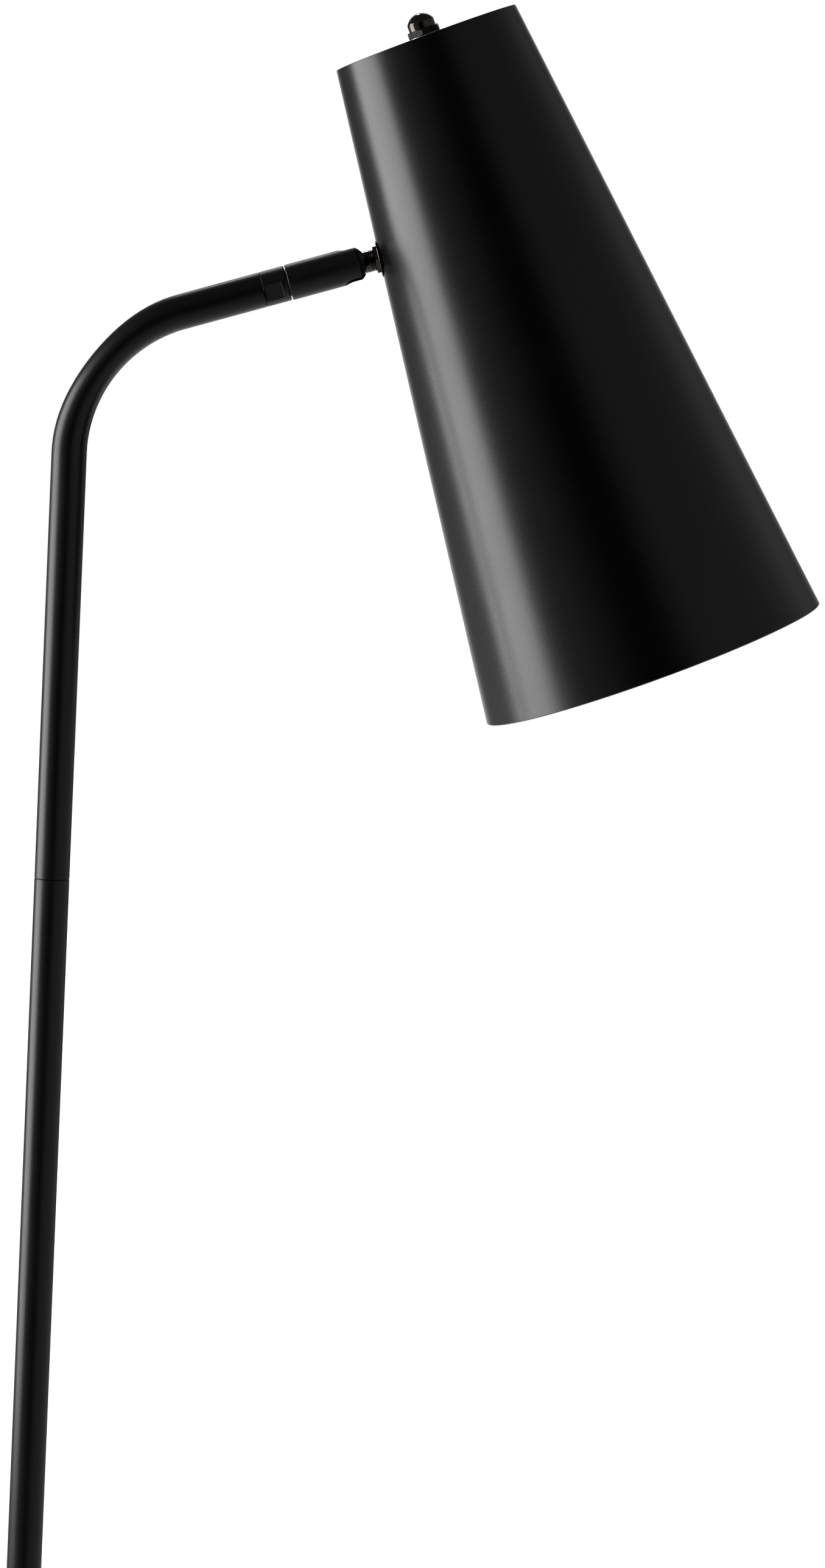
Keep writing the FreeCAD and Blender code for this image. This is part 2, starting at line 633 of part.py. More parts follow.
def tilt_ball():
    """A bored ball with a flat-sided tongue, a tail that the stem screws onto, and a socket for each pin."""
    between_flats = block((0, 0, 0), (4.0 * THREAD_R, 2.0 * TONGUE_FLAT_TO_AXIS, 4.0 * STEM_SHOULDER))
    tongue = rod(THREAD_R, 0.0, STEM_SHOULDER).common(in_slot(between_flats))
    tail = revolved([(0, 0), (TAIL_R, 0), (TAIL_R, TAIL_END - TAIL_BEVEL), (TAIL_R - TAIL_BEVEL, TAIL_END),
                     (0, TAIL_END)])
    ball = Part.makeSphere(BALL_R).fuse([tongue, tail])
    ball = ball.cut(rod(TAIL_BORE_R, -BALL_R - 1.0, TAIL_END + 1.0))
    funnel = revolved([(0, -BALL_R - 1.0), (FUNNEL_R, -BALL_R - 1.0), (FUNNEL_R, -BALL_R + 1.0), (0, -1.0)])
    ball = ball.cut(funnel)
    for side in (-1.0, 1.0):
        ball = ball.cut(pin_socket(side))
    return ball


def pin_socket(side):
    """A socket in the ball around a stub pin."""
    depth = BALL_R - TILT_PIN_DEPTH - 0.3
    start = Vector(0, side * depth, 0)
    return in_slot(Part.makeCylinder(TILT_PIN_R + RUNNING_GAP, 4.0, start, Vector(0, side, 0)))


def shade_stem():
    """A threaded tube with a plain shoulder, screwed over the ball's tail."""
    thread_start = STEM_SHOULDER + SHOULDER_LENGTH
    shoulder = ring(NIPPLE_BORE_R, THREAD_R, STEM_SHOULDER, thread_start)
    return shoulder.fuse(threaded_tube(NIPPLE_BORE_R, thread_start, STEM_END)).removeSplitter()


def inner_washer_start():
    """Where a flat washer first meets the inside of the cone's curved wall."""
    cone_r = SHADE_TOP_R + STEM_BELOW_TOP * math.sin(math.radians(SHADE_HALF_ANGLE)) - SHADE_WALL
    crown = cone_r - math.sqrt(cone_r ** 2 - SHADE_WASHER_R ** 2)
    return WALL_FROM_BALL + SHADE_WALL + crown + FACE_GAP


def stem_parts():
    outer_nut_end = OUTER_NUT_START + OUTER_NUT_T
    outer_nut = hex_nut(SLIM_NUT_AF, OUTER_NUT_START, outer_nut_end, THREAD_HOLE_R)
    outer_washer = chamfered_ring(PASS_HOLE_R, SHADE_WASHER_R, outer_nut_end, WALL_FROM_BALL, 0.15)
    washer_low = inner_washer_start()
    nut_low = washer_low + WASHER_T
    return {
        "tilt_ball": tilt_ball(),
        "shade_stem": shade_stem(),
        "stem_nut_outer": rolled(outer_nut, OUTER_NUT_ROLL),
        "shade_washer_outer": outer_washer,
        "shade_washer_inner": ring(PASS_HOLE_R, SHADE_WASHER_R, washer_low, nut_low),
        "stem_nut_inner": hex_nut(NUT_AF, nut_low, nut_low + NUT_T, THREAD_HOLE_R),
    }


# Shade and everything that hangs from its top: local Z runs up the shade's axis, zero at its top face

def shade():
    """A thin cone with a closed top, one hole for the stem and one for the lampholder's nipple."""
    half_angle = math.radians(SHADE_HALF_ANGLE)
    slope = math.tan(half_angle)
    wall_across = SHADE_WALL / math.cos(half_angle)
    reach = SHADE_EDGE_R * math.tan(math.radians(45.0) - half_angle / 2.0)
    arc_angle = math.radians(45.0) + half_angle / 2.0
    edge_r = SHADE_TOP_R - reach
    edge_start = (edge_r, 0)
    edge_middle = (edge_r + SHADE_EDGE_R * math.cos(arc_angle), SHADE_EDGE_R * (math.sin(arc_angle) - 1.0))
    edge_end = (SHADE_TOP_R + reach * math.sin(half_angle), -reach * math.cos(half_angle))
    lip_z = SHADE_LIP - SHADE_LENGTH
    lip_outer = (SHADE_MOUTH_R - slope * SHADE_LIP, lip_z)
    lip_middle = (SHADE_MOUTH_R - wall_across / 2.0, -SHADE_LENGTH)
    lip_inner = (SHADE_MOUTH_R - wall_across, lip_z)
    inner_corner = (SHADE_TOP_R - wall_across + slope * SHADE_WALL, -SHADE_WALL)
    outline = [
        line((0, 0), edge_start),
        arc(edge_start, edge_middle, edge_end),
        line(edge_end, lip_outer),
        line(lip_outer, lip_middle),
        line(lip_middle, lip_inner),
        line(lip_inner, inner_corner),
        line(inner_corner, (0, -SHADE_WALL)),
        line((0, -SHADE_WALL), (0, 0)),
    ]
    body = revolved_edges(outline).cut(rod(PASS_HOLE_R, -5.0, 5.0))
    stem_hole = rod(PASS_HOLE_R, WALL_FROM_BALL - 5.0, WALL_FROM_BALL + 8.0)
    stem_hole.Placement = ON_SHADE.inverse().multiply(ON_BALL)
    return body.cut(stem_hole)


def top_cap_nut():
    """An acorn nut: a hexagon, a short round neck and a rounded crown, with a blind threaded hole."""
    low = CAP_NUT_LOW
    crown_height = CAP_NUT_DOME_R - math.sqrt(CAP_NUT_DOME_R ** 2 - CAP_NUT_NECK_R ** 2)
    crown = domed_rod(CAP_NUT_NECK_R, low, low + CAP_NUT_H - crown_height, CAP_NUT_DOME_R, CAP_NUT_EDGE_R)
    body = hex_nut(NUT_AF, low, low + CAP_NUT_HEX_H, THREAD_HOLE_R).fuse(crown).removeSplitter()
    return rolled(body.cut(rod(THREAD_HOLE_R, low - 1.0, low + CAP_NUT_BORE)), CAP_NUT_ROLL)


def lampholder_cap():
    """The holder's upper shell, with a threaded collar and a side entry for the lead."""
    cap = revolved([(THREAD_HOLE_R, HOLDER_CAP_TOP), (HOLDER_COLLAR_R, HOLDER_CAP_TOP),
                    (HOLDER_COLLAR_R, HOLDER_CAP_TOP - HOLDER_COLLAR_H),
                    (HOLDER_R - 3.0, HOLDER_CAP_TOP - 6.0), (HOLDER_R, HOLDER_CAP_TOP - 9.0),
                    (HOLDER_R, HOLDER_JOINT), (HOLDER_R - 1.6, HOLDER_JOINT),
                    (HOLDER_R - 1.6, HOLDER_CAP_TOP - 9.5), (HOLDER_R - 3.5, HOLDER_CAP_TOP - 7.6),
                    (THREAD_HOLE_R, HOLDER_CAP_TOP - 7.6)])
    entry = Part.makeCylinder(LEAD_R + 0.3, HOLDER_R, Vector(-1.5 * HOLDER_R, 0, ENTRY_Z), Vector(1, 0, 0))
    return cap.cut(entry)


def lampholder_shell():
    """The holder's lower shell, with grip ribs round its upper half."""
    shell_r = HOLDER_R - 0.6
    bore_r = shell_r - HOLDER_WALL
    shell = ring(bore_r, shell_r, HOLDER_END, HOLDER_JOINT)
    collar = ring(bore_r, HOLDER_R, HOLDER_JOINT - INSERT_T, HOLDER_JOINT)
    rib_middle = (HOLDER_R - GRIP_DEPTH / 2.0, 0, HOLDER_JOINT - INSERT_T - GRIP_LENGTH / 2.0)
    ribs = []
    for index in range(GRIP_RIBS):
        rib = block(rib_middle, (GRIP_DEPTH, GRIP_W, GRIP_LENGTH))
        ribs.append(rolled(rib, index * 360.0 / GRIP_RIBS))
    return shell.fuse([collar] + ribs).removeSplitter()


def lampholder_insert():
    """The moulded block that carries the contacts."""
    return ring(RIVET_R + 0.1, HOLDER_R - 3.7, INSERT_LOW, INSERT_LOW + INSERT_T)


def screw_shell():
    """The holder's threaded shell, closed by a ring against the insert."""
    shell = ring(SCREW_SHELL_R - SCREW_SHELL_WALL, SCREW_SHELL_R, HOLDER_END + 6.0, INSERT_LOW)
    return shell.fuse(ring(7.0, SCREW_SHELL_R - 0.2, INSERT_LOW - 0.5, INSERT_LOW)).removeSplitter()


def centre_contact():
    """The spring contact under the bulb's tip, riveted through the insert."""
    rivet = rod(RIVET_R, INSERT_LOW - 0.5, INSERT_LOW + INSERT_T + 1.0)
    return rivet.fuse(rod(CONTACT_R, BULB_TIP, INSERT_LOW)).removeSplitter()


def bulb_cap():
    """The bulb's threaded metal cap, with rounded rolled threads."""
    pitch = 3.6
    groove_r = BULB_CAP_R - 0.9
    outline = [(0, BULB_CAP_LOW), (BULB_CAP_R, BULB_CAP_LOW)]
    for turn in range(5):
        start = BULB_CAP_LOW + 3.0 + turn * pitch
        outline.append((groove_r, start))
        outline.append((BULB_CAP_R, start + pitch / 2.0))
    outline += [(groove_r, BULB_CAP_LOW + 21.0), (7.0, BULB_TIP - 1.0), (0, BULB_TIP - 1.0)]
    return revolved(outline)


def bulb_housing():
    """The bulb's moulded body, flaring from its cap to its globe."""
    neck_edge = (BULB_NECK_R + 1.0, BULB_CAP_LOW - 1.5)
    flare_middle = (20.5, BULB_CAP_LOW - 19.0)
    rim_edge = (BULB_R - 2.0, BULB_RIM)
    outline = [
        line((0, BULB_RIM), rim_edge),
        arc(rim_edge, flare_middle, neck_edge),
        line(neck_edge, (BULB_NECK_R, BULB_CAP_LOW)),
        line((BULB_NECK_R, BULB_CAP_LOW), (0, BULB_CAP_LOW)),
        line((0, BULB_CAP_LOW), (0, BULB_RIM)),
    ]
    return revolved_edges(outline)


def bulb_globe():
    """The bulb's frosted dome, a thin shell that ends at the body's rim."""
    centre = Vector(0, 0, BULB_RIM - GLOBE_BELOW_BODY)
    shell = Part.makeSphere(BULB_R, centre).cut(Part.makeSphere(BULB_R - GLOBE_WALL, centre))
    return shell.common(rod(BULB_R + 1.0, centre.z - BULB_R - 1.0, BULB_RIM))


def head_lead():
    """The lead from inside the ball, out of the stem, up beside the lampholder and into its side."""
    to_shade = ON_SHADE.inverse()
    ball = to_shade.multVec(BALL_CENTRE)
    inward = to_shade.multVec(BALL_CENTRE + direction(STEM_RISE)) - ball
    run_x = -(HOLDER_R + 12.0)
    turn_up = ball + inward * ((run_x - ball.x) / inward.x)
    over = Vector(run_x, 0, ENTRY_Z)
    inside = Vector(-HOLDER_R + 4.0, 0, ENTRY_Z)
    return lead_along([ball + inward * 2.0, turn_up, over, inside], [11.0, 9.0])


def head_parts():
    washer_low = -SHADE_WALL - WASHER_T
    return {
        "shade": shade(),
        "top_spacer": ring(PASS_HOLE_R, TOP_SPACER_R, 0.0, TOP_SPACER_T),
        "top_washer": ring(PASS_HOLE_R, TOP_WASHER_R, TOP_SPACER_T, CAP_NUT_LOW),
        "top_cap_nut": top_cap_nut(),
        "top_nipple": threaded_tube(NIPPLE_BORE_R, TOP_NIPPLE_END, TOP_NIPPLE_HIGH),
        "top_washer_inner": ring(PASS_HOLE_R, TOP_INNER_WASHER_R, washer_low, -SHADE_WALL),
        "top_nut_inner": hex_nut(NUT_AF, washer_low - NUT_T, washer_low, THREAD_HOLE_R),
        "lampholder_cap": lampholder_cap(),
        "lampholder_shell": lampholder_shell(),
        "lampholder_insert": lampholder_insert(),
        "screw_shell": screw_shell(),
        "centre_contact": centre_contact(),
        "bulb_cap": bulb_cap(),
        "bulb_tip": rod(4.0, BULB_TIP - 1.0, BULB_TIP),
        "bulb_housing": bulb_housing(),
        "bulb_globe": bulb_globe(),
        "head_lead": head_lead(),
    }


def export(parts, place):
    for name, shape in parts.items():
        placed = shape.copy()
        placed.Placement = place.multiply(placed.Placement)
        placed.exportStep("parts/" + name + ".step")


def main():
    os.makedirs("parts", exist_ok=True)
    stand = base_parts()
    stand.update(pole_parts())
    stand["arm_tube"] = arm_tube()
    stand["stand_lead"] = stand_lead()
    export(stand, ON_FLOOR)
    export(swivel_parts(), ON_ARM)
    export(knuckle_parts(), ON_ARM)
    export(stem_parts(), ON_BALL)
    export(head_parts(), ON_SHADE)


main()
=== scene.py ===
import json
import math

import bpy
from mathutils import Matrix, Vector


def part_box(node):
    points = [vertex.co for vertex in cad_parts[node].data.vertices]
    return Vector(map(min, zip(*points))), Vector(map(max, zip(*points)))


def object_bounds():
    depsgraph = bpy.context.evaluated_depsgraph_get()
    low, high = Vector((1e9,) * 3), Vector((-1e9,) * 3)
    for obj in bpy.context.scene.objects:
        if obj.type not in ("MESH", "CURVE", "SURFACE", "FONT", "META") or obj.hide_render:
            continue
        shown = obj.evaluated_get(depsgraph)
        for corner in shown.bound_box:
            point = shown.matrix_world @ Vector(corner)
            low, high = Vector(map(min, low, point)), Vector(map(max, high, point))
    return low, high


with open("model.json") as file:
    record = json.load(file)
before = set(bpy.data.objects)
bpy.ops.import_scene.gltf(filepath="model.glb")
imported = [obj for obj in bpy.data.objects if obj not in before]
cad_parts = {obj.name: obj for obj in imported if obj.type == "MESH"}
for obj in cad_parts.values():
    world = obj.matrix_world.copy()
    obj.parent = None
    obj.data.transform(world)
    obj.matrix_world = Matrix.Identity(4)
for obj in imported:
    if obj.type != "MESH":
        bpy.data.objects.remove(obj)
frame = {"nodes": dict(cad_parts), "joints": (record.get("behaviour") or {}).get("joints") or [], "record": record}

cad_low, cad_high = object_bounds()

MM = 0.001

# Camera: its place is measured from the corner where the arm's line meets the pole's.
CAMERA_FROM_CORNER = Vector((115.3 * MM, -2455.2 * MM, 50.6 * MM))
CAMERA_YAW = 1.088
CAMERA_PITCH = -5.676
CAMERA_ROLL = 2.695
SENSOR = 36.0
LENS = 124.56

# Lights: radiance in watts per square metre and steradian
KEY_RADIANCE = 5.8
TOP_RADIANCE = 15.0
BACKDROP_RADIANCE = 1.0
GROUND_MIDDLE = 0.56
GROUND_SLOPE = 0.44
CEILING_RADIANCE = 0.08
KEY_BEARING = 90.0
KEY_AWAY = 1.1
KEY_LIFT = -0.156
KEY_WIDTH = 0.87
KEY_HEIGHT = 1.18
TOP_FROM_BALL = Vector((-0.38, 1.44, 1.34))
TOP_SIZE = 0.25
FLOOR_SUN = 4.2
FLOOR_SUN_ANGLE = 70.0
FLOOR_R = 12.0
FLOOR_SIDES = 96

# The room's radiance round the lamp, at bearings in degrees: 0 is toward the camera, 90 toward +X
ROOM = [(-180, 1.0), (-170, 1.0), (-158, 0.12), (-60, 0.14), (-36, 0.15), (-16, 0.02), (-8, 0.0), (8, 0.0),
        (24, 0.21), (38, 0.28), (130, 0.30), (148, 0.10), (160, 0.10), (171, 1.0), (180, 1.0)]

# How far above and below the level the room gives way to the ceiling and the ground, as a sine
CEILING_START, CEILING_END = 0.15, 0.85
GROUND_START, GROUND_END = -0.15, -0.50

# Dust specks in the coat
SPECK_SPACING = 5.0 * MM
SPECK_R = 0.035
SPECK_COLOUR = (0.05, 0.05, 0.052)

# Shade and its cap nut
SHADE_WALL = 1.0 * MM
HEX_TOP = 3.4 * MM


# Places read from the frame

def centre_of(node):
    low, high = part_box(node)
    return (low + high) / 2.0


JOINTS = {joint["name"]: joint for joint in frame["joints"]}
ARM_DIRECTION = Vector(JOINTS["head_swivel"]["axis"]).normalized()
SWIVEL_POINT = Vector(JOINTS["head_swivel"]["pos_m"])
ARM_CORNER = SWIVEL_POINT - ARM_DIRECTION * (SWIVEL_POINT.x / ARM_DIRECTION.x)
BALL_CENTRE = Vector(JOINTS["head_tilt"]["pos_m"])
TOP_WASHER = centre_of("top_washer")
SHADE_UP = (TOP_WASHER - centre_of("bulb_tip")).normalized()


def shade_profile():
    """Outer radius at the top and the mouth, and their places along the shade's axis from the washer."""
    points = []
    for vertex in frame["nodes"]["shade"].data.vertices:
        offset = vertex.co - TOP_WASHER
        along = offset.dot(SHADE_UP)
        points.append(((offset - SHADE_UP * along).length, along))
    mouth = max(points)
    top = max(points, key=lambda point: point[0] * 0.5 + point[1])
    return top, mouth


# Node helpers

class Tree:
    """A material's node tree, with short calls for the nodes that the materials here use."""

    def __init__(self, name):
        self.material = bpy.data.materials.new(name)
        self.material.use_nodes = True
        self.nodes = self.material.node_tree.nodes
        self.links = self.material.node_tree.links
        self.shader = self.nodes["Principled BSDF"]
        self.place = self.nodes.new("ShaderNodeTexCoord").outputs["Object"]

    def link(self, output, target):
        self.links.new(output, target)

    def math(self, operation, first, second=0.0, third=0.0):
        node = self.nodes.new("ShaderNodeMath")
        node.operation = operation
        for socket, value in zip(node.inputs, (first, second, third)):
            self.fill(socket, value)
        return node.outputs[0]

    def vector(self, operation, first, second=(0.0, 0.0, 0.0)):
        node = self.nodes.new("ShaderNodeVectorMath")
        node.operation = operation
        self.fill(node.inputs[0], first)
        self.fill(node.inputs[1], second)
        return node.outputs["Value" if operation in ("DOT_PRODUCT", "LENGTH") else "Vector"]

    def fill(self, socket, value):
        if isinstance(value, bpy.types.NodeSocket):
            self.link(value, socket)
        else:
            socket.default_value = value

    def noise(self, size, detail=2.0, roughness=0.5):
        """A noise whose features are about this many metres across."""
        node = self.nodes.new("ShaderNodeTexNoise")
        node.inputs["Scale"].default_value = 1.0 / size
        node.inputs["Detail"].default_value = detail
        node.inputs["Roughness"].default_value = roughness
        self.link(self.place, node.inputs["Vector"])
        return node.outputs["Fac"]

    def cells(self, size):
        """The distance to the nearest of points about this many metres apart, as a share of that size."""
        node = self.nodes.new("ShaderNodeTexVoronoi")
        node.inputs["Scale"].default_value = 1.0 / size
        self.link(self.place, node.inputs["Vector"])
        return node.outputs["Distance"]

    def spread(self, value, low, high, source_low=0.3, source_high=0.7):
        """The value carried from its source range to another range."""
        node = self.nodes.new("ShaderNodeMapRange")
        self.link(value, node.inputs["Value"])
        node.inputs["From Min"].default_value = source_low
        node.inputs["From Max"].default_value = source_high
        node.inputs["To Min"].default_value = low
        node.inputs["To Max"].default_value = high
        return node.outputs["Result"]

    def blend(self, factor, first, second):
        node = self.nodes.new("ShaderNodeMix")
        node.data_type = "RGBA"
        self.fill(node.inputs["Factor"], factor)
        self.fill(node.inputs["A"], first if isinstance(first, bpy.types.NodeSocket) else (*first, 1.0))
        self.fill(node.inputs["B"], second if isinstance(second, bpy.types.NodeSocket) else (*second, 1.0))
        return node.outputs["Result"]

    def bump(self, height, depth):
        node = self.nodes.new("ShaderNodeBump")
        node.inputs["Strength"].default_value = 1.0
        node.inputs["Distance"].default_value = depth
        self.link(height, node.inputs["Height"])
        return node.outputs["Normal"]

    def colour(self, output):
        self.link(output, self.shader.inputs["Base Color"])

    def roughness(self, output):
        self.link(output, self.shader.inputs["Roughness"])

    def normal(self, output):
        self.link(output, self.shader.inputs["Normal"])

    def set(self, name, value):
        self.shader.inputs[name].default_value = value


def powder_coat(name, dark=0.004, grain=0.55 * MM, depth=0.010 * MM, smooth=0.36, rough=0.42):
    """A satin black coat with a fine orange-peel grain, rare dust specks and slow changes in sheen."""
    tree = Tree(name)
    peel = tree.noise(grain, detail=3.0, roughness=0.55)
    drift = tree.noise(35.0 * MM, detail=2.0)
    specks = tree.math("LESS_THAN", tree.cells(SPECK_SPACING), SPECK_R)
    coat = tree.blend(tree.spread(drift, 0.0, 1.0), (dark, dark, dark * 1.04),
                      (dark * 1.3, dark * 1.28, dark * 1.28))
    tree.colour(tree.blend(specks, coat, SPECK_COLOUR))
    sheen = tree.spread(drift, smooth, rough)
    tree.roughness(tree.math("ADD", sheen, tree.spread(peel, -0.02, 0.02)))
    tree.normal(tree.bump(peel, depth))
    return tree


def tube_coat():
    tree = powder_coat("tube_coat", dark=0.0024, smooth=0.31, rough=0.35)
    tree.set("Specular IOR Level", 0.45)
    return tree.material


def joint_coat():
    """The same coat on cast and turned parts, a little rougher."""
    return powder_coat("joint_coat", dark=0.0026, grain=0.7 * MM, depth=0.03 * MM, smooth=0.34,
                       rough=0.42).material


def from_top_washer(tree):
    """Each point's offset from the top washer, and how far it lies up the shade's axis."""
    offset = tree.vector("SUBTRACT", tree.place, tuple(TOP_WASHER))
    return offset, tree.vector("DOT_PRODUCT", offset, tuple(SHADE_UP))


def shade_coat():
    """Black outside and warm white inside; the two meet at the middle of the wall."""
    tree = powder_coat("shade_coat", dark=0.0010, smooth=0.26, rough=0.29)
    top, mouth = shade_profile()
    slope = (mouth[0] - top[0]) / (top[1] - mouth[1])
    offset, along = from_top_washer(tree)
    distance_squared = tree.vector("DOT_PRODUCT", offset, offset)
    along_squared = tree.math("MULTIPLY", along, along)
    radius = tree.math("SQRT", tree.math("SUBTRACT", distance_squared, along_squared))
    middle = top[0] - SHADE_WALL / 2.0 + slope * top[1]
    wall = tree.math("MULTIPLY_ADD", along, -slope, middle)
    inside_wall = tree.math("LESS_THAN", radius, wall)
    below_top = tree.math("LESS_THAN", along, -SHADE_WALL)
    inside = tree.math("MULTIPLY", inside_wall, below_top)
    black = tree.shader.inputs["Base Color"].links[0].from_socket
    tree.colour(tree.blend(inside, black, (0.80, 0.79, 0.75)))
    return tree.material


def black_nickel():
    """A glossy, brownish dark plating, duller and grainy on the cap nut's hexagon above the top washer."""
    tree = Tree("black_nickel")
    stain = tree.noise(5.0 * MM, detail=2.0)
    bright = tree.blend(tree.spread(stain, 0.0, 1.0), (0.075, 0.064, 0.060), (0.095, 0.081, 0.075))
    along = from_top_washer(tree)[1]
    above_washer = tree.math("GREATER_THAN", along, 0.0)
    hexagon = tree.math("MULTIPLY", above_washer, tree.math("LESS_THAN", along, HEX_TOP))
    chips = tree.spread(tree.noise(0.8 * MM, detail=3.0), 0.0, 1.0, 0.32, 0.68)
    dull = tree.blend(chips, (0.014, 0.013, 0.012), (0.044, 0.041, 0.039))
    tree.colour(tree.blend(hexagon, bright, dull))
    tree.set("Metallic", 1.0)
    polish = tree.spread(tree.noise(0.9 * MM, detail=3.0), 0.06, 0.13)
    tree.roughness(tree.math("MULTIPLY_ADD", hexagon, 0.34, polish))
    tree.normal(tree.bump(tree.noise(0.3 * MM, detail=2.0), 0.006 * MM))
    return tree.material


def zinc_steel():
    tree = Tree("zinc_steel")
    stain = tree.noise(3.0 * MM, detail=4.0)
    tree.colour(tree.blend(tree.spread(stain, 0.0, 1.0), (0.55, 0.56, 0.58), (0.72, 0.72, 0.71)))
    tree.set("Metallic", 1.0)
    tree.roughness(tree.spread(tree.noise(1.2 * MM, detail=4.0), 0.22, 0.42))
    tree.normal(tree.bump(tree.noise(0.5 * MM, detail=2.0), 0.004 * MM))
    return tree.material


def cast_iron():
    tree = Tree("base_iron")
    sand = tree.noise(1.6 * MM, detail=5.0, roughness=0.65)
    patches = tree.spread(tree.noise(14.0 * MM), 0.0, 1.0)
    tree.colour(tree.blend(patches, (0.075, 0.072, 0.070), (0.13, 0.125, 0.12)))
    tree.set("Metallic", 0.6)
    tree.roughness(tree.spread(sand, 0.62, 0.86))
    tree.normal(tree.bump(sand, 0.25 * MM))
    return tree.material


def pad_foam():
    tree = Tree("pad_foam")
    pores = tree.cells(1.3 * MM)
    # Painted shade: the colour darkens toward each pore's centre, standing in for shade inside the pores
    depth = tree.spread(pores, 0.0, 1.0, 0.0, 0.6)
    tree.colour(tree.blend(depth, (0.012, 0.012, 0.013), (0.040, 0.040, 0.042)))
    tree.roughness(tree.spread(tree.noise(3.0 * MM), 0.85, 0.97))
    tree.normal(tree.bump(pores, 0.3 * MM))
    return tree.material


def moulded(name, pale, dark, smooth, rough, texture=0.5 * MM, depth=0.01 * MM):
    """A moulded plastic with a fine spark-eroded surface and slow changes in colour."""
    tree = Tree(name)
    tree.colour(tree.blend(tree.spread(tree.noise(12.0 * MM), 0.0, 1.0), dark, pale))
    grain = tree.noise(texture, detail=3.0)
    tree.roughness(tree.spread(grain, smooth, rough))
    tree.normal(tree.bump(grain, depth))
    return tree


def insert_ceramic():
    tree = moulded("insert_ceramic", (0.86, 0.84, 0.79), (0.80, 0.78, 0.73), 0.18, 0.32, 0.8 * MM)
    tree.set("Coat Weight", 0.5)
    tree.set("Coat Roughness", 0.08)
    return tree.material


def contact_brass():
    tree = Tree("contact_brass")
    tarnish = tree.noise(2.2 * MM, detail=4.0)
    tree.colour(tree.blend(tree.spread(tarnish, 0.0, 1.0), (0.60, 0.42, 0.17), (0.83, 0.65, 0.33)))
    tree.set("Metallic", 1.0)
    tree.roughness(tree.spread(tarnish, 0.38, 0.20))
    tree.normal(tree.bump(tree.noise(0.6 * MM), 0.004 * MM))
    return tree.material


def bulb_metal():
    tree = Tree("bulb_metal")
    scuffs = tree.noise(1.4 * MM, detail=5.0)
    tree.colour(tree.blend(tree.spread(scuffs, 0.0, 1.0), (0.60, 0.60, 0.61), (0.80, 0.80, 0.80)))
    tree.set("Metallic", 1.0)
    tree.roughness(tree.spread(scuffs, 0.18, 0.40))
    tree.normal(tree.bump(scuffs, 0.004 * MM))
    return tree.material


def bulb_frost():
    """The globe's translucent moulding, with a faint cloudiness."""
    tree = moulded("bulb_frost", (0.93, 0.92, 0.89), (0.89, 0.88, 0.84), 0.42, 0.55, 0.6 * MM, 0.006 * MM)
    tree.set("Subsurface Weight", 0.35)
    tree.set("Subsurface Radius", (0.004, 0.004, 0.004))
    tree.set("Subsurface Scale", 1.0)
    return tree.material


def lead_sheath():
    return moulded("lead_sheath", (0.024, 0.024, 0.025), (0.014, 0.014, 0.015), 0.38, 0.52).material


def seat_nylon():
    return moulded("seat_nylon", (0.80, 0.79, 0.74), (0.74, 0.73, 0.68), 0.45, 0.60).material


def gland_plastic():
    return moulded("gland_plastic", (0.024, 0.024, 0.025), (0.015, 0.015, 0.016), 0.45, 0.62).material


def holder_plastic():
    return moulded("holder_plastic", (0.022, 0.021, 0.021), (0.013, 0.013, 0.013), 0.22, 0.36).material


def bulb_plastic():
    return moulded("bulb_plastic", (0.88, 0.88, 0.86), (0.83, 0.83, 0.81), 0.30, 0.42).material


MATERIAL_MAKERS = {
    "tube_coat": tube_coat,
    "joint_coat": joint_coat,
    "shade_coat": shade_coat,
    "black_nickel": black_nickel,
    "zinc_steel": zinc_steel,
    "base_iron": cast_iron,
    "pad_foam": pad_foam,
    "gland_plastic": gland_plastic,
    "lead_sheath": lead_sheath,
    "seat_nylon": seat_nylon,
    "holder_plastic": holder_plastic,
    "insert_ceramic": insert_ceramic,
    "contact_brass": contact_brass,
    "bulb_metal": bulb_metal,
    "bulb_plastic": bulb_plastic,
    "bulb_frost": bulb_frost,
}


def dress_nodes():
    """Gives each CAD node its slot's material."""
    materials = {slot: maker() for slot, maker in MATERIAL_MAKERS.items()}
    for part in frame["record"]["subparts"]:
        for slot in frame["nodes"][part["node"]].material_slots:
            slot.material = materials[part["material_slot"]]


# Camera, light and floor

def make_camera():
    yaw = math.radians(CAMERA_YAW)
    pitch = math.radians(CAMERA_PITCH)
    roll = math.radians(CAMERA_ROLL)
    forward = Vector((math.sin(yaw) * math.cos(pitch), math.cos(yaw) * math.cos(pitch), math.sin(pitch)))
    level_right = Vector((math.cos(yaw), -math.sin(yaw), 0.0))
    level_up = level_right.cross(forward)
    right = math.cos(roll) * level_right + math.sin(roll) * level_up
    up = math.cos(roll) * level_up - math.sin(roll) * level_right
    data = bpy.data.cameras.new("camera")
    data.sensor_width = SENSOR
    data.lens = LENS
    data.clip_start = 0.05
    data.clip_end = 100.0
    camera = bpy.data.objects.new("camera", data)
    turn = Matrix((right, up, -forward)).transposed()
    camera.matrix_world = Matrix.Translation(ARM_CORNER + CAMERA_FROM_CORNER) @ turn.to_4x4()
    bpy.context.scene.collection.objects.link(camera)
    bpy.context.scene.camera = camera


def area_light(name, place, target, size, radiance):
    data = bpy.data.lights.new(name, "AREA")
    data.shape = "RECTANGLE"
    data.size, data.size_y = size
    data.energy = radiance * math.pi * size[0] * size[1]
    light = bpy.data.objects.new(name, data)
    light.location = place
    light.rotation_euler = (Vector(target) - Vector(place)).to_track_quat("-Z", "Y").to_euler()
    light.visible_camera = False
    bpy.context.scene.collection.objects.link(light)


